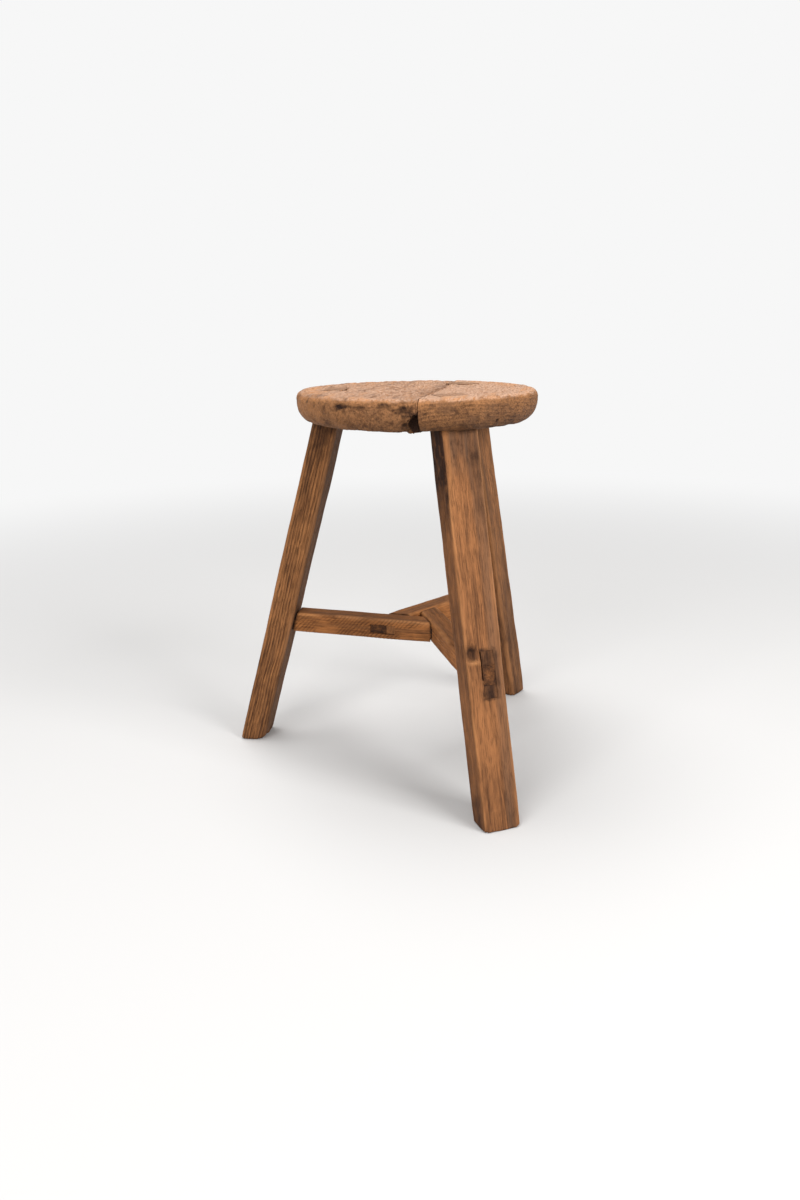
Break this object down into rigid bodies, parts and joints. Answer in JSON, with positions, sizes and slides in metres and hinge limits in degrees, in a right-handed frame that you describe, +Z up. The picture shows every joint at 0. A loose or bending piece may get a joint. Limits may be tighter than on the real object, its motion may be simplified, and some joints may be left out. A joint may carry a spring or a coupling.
{
  "type": "wooden milking stool",
  "caption": "Low round wooden stool with a two-board seat, splayed square legs and stretchers that turn round a small central triangle.",
  "frame": {"origin": "on the floor, under the middle of the stool's plan outline", "axes": "+Z up, -Y towards the front leg, +X to the right seen from the front leg"},
  "size_m": [0.421, 0.3784, 0.45],
  "materials": {
    "seat_elm": "worn, dry old elm, pinkish tan on top and browner round the rim",
    "leg_elm": "worn old elm, planed and waxed, with open grain",
    "stretcher_elm": "sawn and worn old elm",
    "wedge_elm": "dark end grain and split wedges"
  },
  "bodies": {
    "root": {"seat_board_left": "seat_elm", "seat_board_right": "seat_elm", "seat_dowel_front": "wedge_elm", "seat_dowel_middle": "wedge_elm", "seat_dowel_back": "wedge_elm", "leg_front": "leg_elm", "leg_front_wedge": "wedge_elm", "stretcher_front": "stretcher_elm", "stretcher_front_upper_wedge": "wedge_elm", "stretcher_front_lower_wedge": "wedge_elm", "stretcher_front_side_wedge": "wedge_elm", "leg_left": "leg_elm", "leg_left_wedge": "wedge_elm", "stretcher_left": "stretcher_elm", "stretcher_left_upper_wedge": "wedge_elm", "stretcher_left_lower_wedge": "wedge_elm", "stretcher_left_side_wedge": "wedge_elm", "leg_right": "leg_elm", "leg_right_wedge": "wedge_elm", "stretcher_right": "stretcher_elm", "stretcher_right_upper_wedge": "wedge_elm", "stretcher_right_lower_wedge": "wedge_elm", "stretcher_right_side_wedge": "wedge_elm"}
  },
  "joints": []
}
